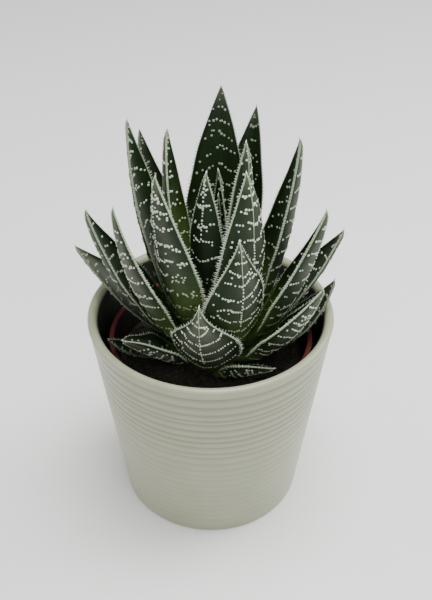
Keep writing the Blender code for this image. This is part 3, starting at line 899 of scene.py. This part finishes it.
def pearl_band(leaf, share, marks, rng):
    """One band of pearls, laid in dashes from the keel to each margin. A row holds a pearl's share, across,
    half width and half length. The more a band is strung, the longer and straighter its dashes are."""
    half = float(half_width(leaf, np.array([share]))[0])
    length = leaf_length(leaf)
    strung = marks.strung
    room = half - BAND_CLEAR
    lift = marks.bend * MM * min(1, half / FULL_BEND_HALF)
    rows = []
    for sign in (-1, 1):
        shift = rng.normal(0, 0.6 - 0.35 * strung) * MM
        x = rng.uniform(0, 1.2) * MM
        while x < room:
            count = int(rng.integers(1, 3 + round(7 * strung)))
            step, slope = rng.normal(0, 0.75 - 0.5 * strung) * MM, rng.normal(0, 0.3 - 0.15 * strung)
            for i in range(count):
                across = x / half
                offset = shift + step + slope * i * PEARL_TOUCH + lift * across**1.5
                size = PEARL_RADIUS * rng.uniform(0.72, 1.1) * (1 - 0.32 * strung)
                if x < room:
                    long = size * rng.uniform(0.9, 1.15)
                    rows.append((share + offset / length, sign * across, size, long))
                x += PEARL_TOUCH * rng.uniform(0.85, 1.1) * (1 - 0.26 * strung)
            x += rng.uniform(0.3, 2) * (1 - 0.6 * strung) * MM
    return rows


def pearls(leaf, marks, face, rng):
    """All the pearls on one face of a leaf: small ones near its tip, and bands with strays about them."""
    length = leaf_length(leaf)
    if face > 0:
        marks = marks._replace(spacing=INNER_SPACING, bend=INNER_BEND, strung=0, strays=USUAL_STRAYS)
    spacing = marks.spacing * MM
    rows = []
    for _ in range(TIP_PEARLS):
        small = PEARL_RADIUS * rng.uniform(0.4, 0.6)
        rows.append((1 - rng.uniform(4, 8) * MM / length, rng.uniform(-0.45, 0.45), small, small * 1.2))
    from_tip = FIRST_BAND
    while from_tip < PEARLED_SHARE * length:
        rows += pearl_band(leaf, 1 - from_tip / length, marks, rng)
        for _ in range(rng.poisson(marks.strays)):
            stray = from_tip + rng.normal(0, 0.14) * spacing
            size = PEARL_RADIUS * rng.uniform(0.6, 0.95)
            rows.append((1 - stray / length, rng.choice((-1, 1)) * rng.uniform(0.15, 0.85), size, size))
        near = min(1, from_tip / CLOSE_BANDS)
        from_tip += spacing * (0.65 + 0.35 * near) * rng.uniform(0.88, 1.12)
    return np.array(rows)


def keel_ridge(leaf, marks):
    """The whole pale line down the upper part of the keel, as overlapping long pearls."""
    length = leaf_length(leaf)
    count = int(marks.keel * length / KEEL_STEP)
    rows = []
    for i in range(count):
        from_tip = 1.5 * MM + KEEL_STEP * i
        rows.append((1 - from_tip / length, 0.0, KEEL_RADIUS * (1 - 0.4 * i / count), 1 * MM))
    return np.array(rows)


def keel_dots(leaf, marks, rng):
    """Below the whole line, the keel carries single small pearls."""
    length = leaf_length(leaf)
    rows = []
    from_tip = marks.keel * length
    while from_tip < (marks.keel + KEEL_DOTS_SHARE) * length:
        size = rng.uniform(0.45, 0.65) * MM
        rows.append((1 - from_tip / length, 0.0, size, size * 1.2))
        from_tip += rng.uniform(1.3, 2.6) * MM
    return np.array(rows)


def pearl_copies(leaf, shape, rows, face):
    """Pearls set on a leaf's skin, as points, faces and each point's share."""
    share, across, wide, long = rows.T
    share = np.clip(share, 0.02, 0.985)
    here, over, along, out = skin_frame(leaf, share, across, face)
    height = PEARL_HEIGHT * np.minimum(1, 0.55 + share)
    axes = np.stack([over * wide[:, None], along * long[:, None], out * height[:, None]], axis=1)
    vertices, faces = stamped(shape, here, axes)
    return vertices, faces, np.repeat(share, len(shape[0]))


def tooth_copies(leaf, marks, shape, rng):
    """The teeth down both margins, and the small spine at the tip."""
    length = leaf_length(leaf)
    centres, axes, shares = [], [], []
    for sign in (-1, 1):
        gaps = TOOTH_SPACING / length * rng.uniform(0.7, 1.3, int(1.2 * length / TOOTH_SPACING))
        share = TEETH_FROM + np.cumsum(gaps)
        share = share[share < TEETH_TO]
        outer = bead_points(leaf, share, sign, marks)[:, BEAD_POINTS // 2]
        _, side, upward = place(leaf, share)
        tangent = unit(np.gradient(outer, axis=0))
        lift = channel_slope(share) * rng.uniform(0.3, 1.7, len(share))
        flare = side * sign + upward * lift[:, None]
        away = unit(flare - tangent * dot(flare, tangent))
        grown = np.interp(share, [TEETH_FROM, 0.35, 0.6, 1], [0.4, 1, 0.95, 0.45])
        size = (TOOTH_LENGTH * grown * rng.uniform(0.7, 1.1, len(share)))[:, None]
        width = (TOOTH_WIDTH * np.interp(share, [0.6, 1], [1, 0.6]))[:, None]
        centres.append(outer - away * TOOTH_SUNK)
        axes.append(np.stack([away * size, tangent * width, upward * width], axis=1))
        shares.append(share)
    tip, side, upward = place(leaf, np.array([0.99]))
    forward = unit(place(leaf, np.array([1.0]))[0] - tip)
    centres.append(tip)
    axes.append(np.stack([forward * SPINE_LENGTH, side * SPINE_WIDTH, upward * SPINE_WIDTH], axis=1))
    shares.append(np.array([1.0]))
    vertices, faces = stamped(shape, np.concatenate(centres), np.concatenate(axes))
    return vertices, faces, np.repeat(np.concatenate(shares), len(shape[0]))


def make_leaf(number, leaf, pearl, tooth, materials):
    """One leaf with its pearls, keel line and teeth, and the values at its points for its materials."""
    rng = np.random.default_rng(SEED + 100 * number)
    marks = MARKS.get(number, USUAL_MARKS)
    skin, faces, rims, shares, across, sides = blade(leaf, marks)
    kinds = [RIM if rim else SKIN for rim in rims]
    points = [skin]
    # Painted light: outside, the grey grows towards one margin, on the side where light falls; inside it is
    # partly painted light too.
    bloom = np.where(sides > 0, marks.dust, marks.bloom * (1 + marks.lean * across))
    columns = {"share": [shares], "across": [across], "outer": [(1 - sides) / 2], "bloom": [bloom]}
    columns["pale"] = [np.full(len(shares), marks.pale)]
    # Painted light: towards the root the yellow-green is painted brighter than its own colour, for light
    # that shines through the leaves.
    columns["sallow"] = [np.clip(1 - shares / marks.sallow, 0, 1)]
    extras = [(*pearl_copies(leaf, pearl, pearls(leaf, marks, face, rng), face), PEARLS) for face in (1, -1)]
    extras.append((*pearl_copies(leaf, pearl, keel_ridge(leaf, marks), -1), RIM))
    extras.append((*pearl_copies(leaf, pearl, keel_dots(leaf, marks, rng), -1), PEARLS))
    extras.append((*tooth_copies(leaf, marks, tooth, rng), TEETH))
    offset = len(skin)
    for vertices, more, share, kind in extras:
        points.append(vertices)
        faces += shifted(more, offset)
        kinds += [kind] * len(more)
        columns["share"].append(share)
        for column in ("across", "outer", "bloom", "sallow"):
            columns[column].append(np.zeros(len(share)))
        columns["pale"].append(np.full(len(share), marks.pale))
        offset += len(vertices)
    piece = new_piece(f"aloe_leaf_{number:02d}", points, faces, kinds)
    for column, values in columns.items():
        set_attribute(piece.data, column, np.concatenate(values))
    piece.data.shade_smooth()
    wear(piece, *materials)
    seat(piece, f"leaf_{number:02d}")


def skin_material():
    """Living aloe skin: near-black green inside the rosette and, outside, dulled by a grey waxy coat. That
    grey is also painted sheen, strongest along the keel and fading towards the margins, and leaf by leaf it
    carries painted light and painted shade. Towards its root a leaf gets less light and stays yellow-green,
    and there it is painted brighter than its own colour, as painted light that shines through the leaves.
    The pores are drawn coarser than life, to show."""
    material, tree, shader, where = new_material("aloe skin, waxy bloom")
    share, across, outer, wax_and_painted_light, root_tint_and_painted_light = (
        add_node(tree, "ShaderNodeAttribute", {}, "Fac", attribute_name=name)
        for name in ("share", "across", "outer", "bloom", "sallow")
    )
    cloud = add_node(
        tree, "ShaderNodeTexNoise", {"Vector": where, "Scale": 1 / (7 * MM), "Detail": 5}, "Fac"
    )
    pores = add_node(
        tree, "ShaderNodeTexNoise", {"Vector": where, "Scale": 1 / (0.9 * MM), "Detail": 3}, "Fac"
    )
    inside = add_node(
        tree, "ShaderNodeMix", {"Factor": cloud, "A": "#0c1908", "B": "#1b3210"}, "Result", data_type="RGBA"
    )
    # Painted sheen: the grey is strongest along the keel and fades towards the margins.
    from_keel = add_node(tree, "ShaderNodeMath", {0: across}, "Value", operation="ABSOLUTE")
    middle = add_node(
        tree,
        "ShaderNodeMapRange",
        {"Value": from_keel, "From Min": 0.45, "From Max": 0.95, "To Min": 1, "To Max": 0},
        "Result",
        interpolation_type="SMOOTHSTEP",
    )
    patchy = add_node(
        tree,
        "ShaderNodeMapRange",
        {"Value": cloud, "From Min": 0.3, "From Max": 0.6, "To Min": 0.6, "To Max": 1.1},
        "Result",
    )
    raised = add_node(
        tree,
        "ShaderNodeMapRange",
        {"Value": share, "From Min": 0.22, "From Max": 0.6, "To Min": 0.1, "To Max": 1},
        "Result",
        interpolation_type="SMOOTHSTEP",
    )
    # The grey is partly the leaf's own waxy coat, and partly painted sheen, painted light and painted shade,
    # set leaf by leaf.
    bloom = wax_and_painted_light
    for part in (middle, patchy, raised):
        bloom = add_node(tree, "ShaderNodeMath", {0: bloom, 1: part}, "Value", operation="MULTIPLY")
    bare = add_node(
        tree, "ShaderNodeMix", {"Factor": outer, "A": inside, "B": "#16270f"}, "Result", data_type="RGBA"
    )
    faces = add_node(
        tree, "ShaderNodeMix", {"Factor": bloom, "A": bare, "B": "#5e6255"}, "Result", data_type="RGBA"
    )
    # Painted light: the root's yellow-green is painted brighter than its own colour, for light that shines
    # through the leaves.
    low = add_node(
        tree,
        "ShaderNodeMapRange",
        {"Value": root_tint_and_painted_light, "To Max": 0.9},
        "Result",
        interpolation_type="SMOOTHSTEP",
    )
    sallow = add_node(tree, "ShaderNodeMath", {0: low, 1: patchy}, "Value", operation="MULTIPLY")
    greener = add_node(
        tree, "ShaderNodeMix", {"Factor": sallow, "A": faces, "B": "#5f7a34"}, "Result", data_type="RGBA"
    )
    point = add_node(
        tree,
        "ShaderNodeMapRange",
        {"Value": share, "From Min": 0.88, "From Max": 1, "To Min": 0, "To Max": 0.5},
        "Result",
        interpolation_type="SMOOTHSTEP",
    )
    colour = add_node(
        tree, "ShaderNodeMix", {"Factor": point, "A": greener, "B": "#66745a"}, "Result", data_type="RGBA"
    )
    gloss = add_node(tree, "ShaderNodeMapRange", {"Value": outer, "To Min": 0.45, "To Max": 0.7}, "Result")
    bump = add_node(
        tree, "ShaderNodeBump", {"Height": pores, "Strength": 0.35, "Distance": 0.15 * MM}, "Normal"
    )
    set_inputs(tree, shader, {"Base Color": colour, "Roughness": gloss, "Normal": bump, "IOR": 1.35})
    return material


def pale_material(name, root, tip, roughness):
    """A pale, firm tissue, faintly mottled, that turns greener towards the leaf's root."""
    material, tree, shader, where = new_material(name)
    share = add_node(tree, "ShaderNodeAttribute", {}, "Fac", attribute_name="share")
    high = add_node(
        tree, "ShaderNodeMapRange", {"Value": share, "From Min": 0.15, "From Max": 0.6}, "Result"
    )
    colour = add_node(
        tree, "ShaderNodeMix", {"Factor": high, "A": root, "B": tip}, "Result", data_type="RGBA"
    )
    clouds = add_node(
        tree, "ShaderNodeTexNoise", {"Vector": where, "Scale": 1 / (2 * MM), "Detail": 3}, "Fac"
    )
    pale = add_node(tree, "ShaderNodeAttribute", {}, "Fac", attribute_name="pale")
    mottle = add_node(
        tree, "ShaderNodeMapRange", {"Value": clouds, "To Min": 0.75, "To Max": 1.15}, "Result"
    )
    shade = add_node(tree, "ShaderNodeMath", {0: mottle, 1: pale}, "Value", operation="MULTIPLY")
    toned = add_node(tree, "ShaderNodeVectorMath", {0: colour, "Scale": shade}, "Vector", operation="SCALE")
    set_inputs(tree, shader, {"Base Color": toned, "Roughness": roughness})
    return material


def make_leaves():
    pearl, tooth = pearl_shape(), tooth_shape()
    materials = (
        skin_material(),
        pale_material("aloe margin, firm cartilage", "#4f6338", "#99ab8b", 0.5),
        pale_material("aloe pearls, raised and chalky", "#6f7f48", "#d4ddc9", 0.5),
        pale_material("aloe teeth, horny", "#98a67e", "#e6ecdf", 0.45),
    )
    for number, leaf in enumerate(LEAVES, start=1):
        make_leaf(number, leaf, pearl, tooth, materials)


def dress_crown():
    """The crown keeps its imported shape: pale green tissue that the leaves grow from."""
    material, tree, shader, where = new_material("leaf base tissue, moist")
    clouds = add_node(
        tree, "ShaderNodeTexNoise", {"Vector": where, "Scale": 1 / (5 * MM), "Detail": 4}, "Fac"
    )
    colour = add_node(
        tree, "ShaderNodeMix", {"Factor": clouds, "A": "#2b3a18", "B": "#5a6a30"}, "Result", data_type="RGBA"
    )
    set_inputs(tree, shader, {"Base Color": colour, "Roughness": 0.5})
    wear(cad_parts["crown"], material)


def make_floor():
    """A plain pale board, painted matt."""
    bpy.ops.object.select_all(action="DESELECT")
    bpy.ops.mesh.primitive_plane_add(size=6)
    floor = bpy.context.object
    floor.name = "floor"
    material, tree, shader, where = new_material("pale matt paint, rolled")
    clouds = add_node(
        tree, "ShaderNodeTexNoise", {"Vector": where, "Scale": 1 / (80 * MM), "Detail": 3}, "Fac"
    )
    colour = add_node(
        tree, "ShaderNodeMix", {"Factor": clouds, "A": "#f3f3f4", "B": "#f8f7f6"}, "Result", data_type="RGBA"
    )
    set_inputs(tree, shader, {"Base Color": colour, "Roughness": 0.9})
    wear(floor, material)


def add_area_light(name, spot, aim, size, power, colour):
    light = bpy.data.lights.new(name, "AREA")
    light.shape = "DISK"
    light.size = size
    light.energy = power
    light.color = linear(colour)[:3]
    lamp = bpy.data.objects.new(name, light)
    bpy.context.collection.objects.link(lamp)
    lamp.location = spot
    lamp.rotation_euler = (Vector(aim) - Vector(spot)).to_track_quat("-Z", "Y").to_euler()


def make_light():
    """A bright, soft room with a wide lamp above, and a window in front and at each side."""
    world = bpy.data.worlds.new("soft room")
    bpy.context.scene.world = world
    world.use_nodes = True
    background = world.node_tree.nodes["Background"]
    set_inputs(world.node_tree, background, {"Color": "#f2f3f4", "Strength": ROOM})
    for name, lamp in LAMPS.items():
        add_area_light(name, *lamp)


def make_camera():
    data = bpy.data.cameras.new("camera")
    data.lens = LENS
    data.sensor_width = LENS_FRAME
    camera = bpy.data.objects.new("camera", data)
    bpy.context.collection.objects.link(camera)
    camera.location = AIM + Vector((0, -math.cos(PITCH), math.sin(PITCH))) * DISTANCE
    camera.rotation_euler = (math.pi / 2 - PITCH, 0, 0)
    bpy.context.scene.camera = camera


make_camera()
make_light()
make_floor()
make_cover_pot()
make_nursery_pot()
compost = compost_material()
make_soil(compost)
make_crumbs(compost, bark_material())
dress_crown()
make_leaves()
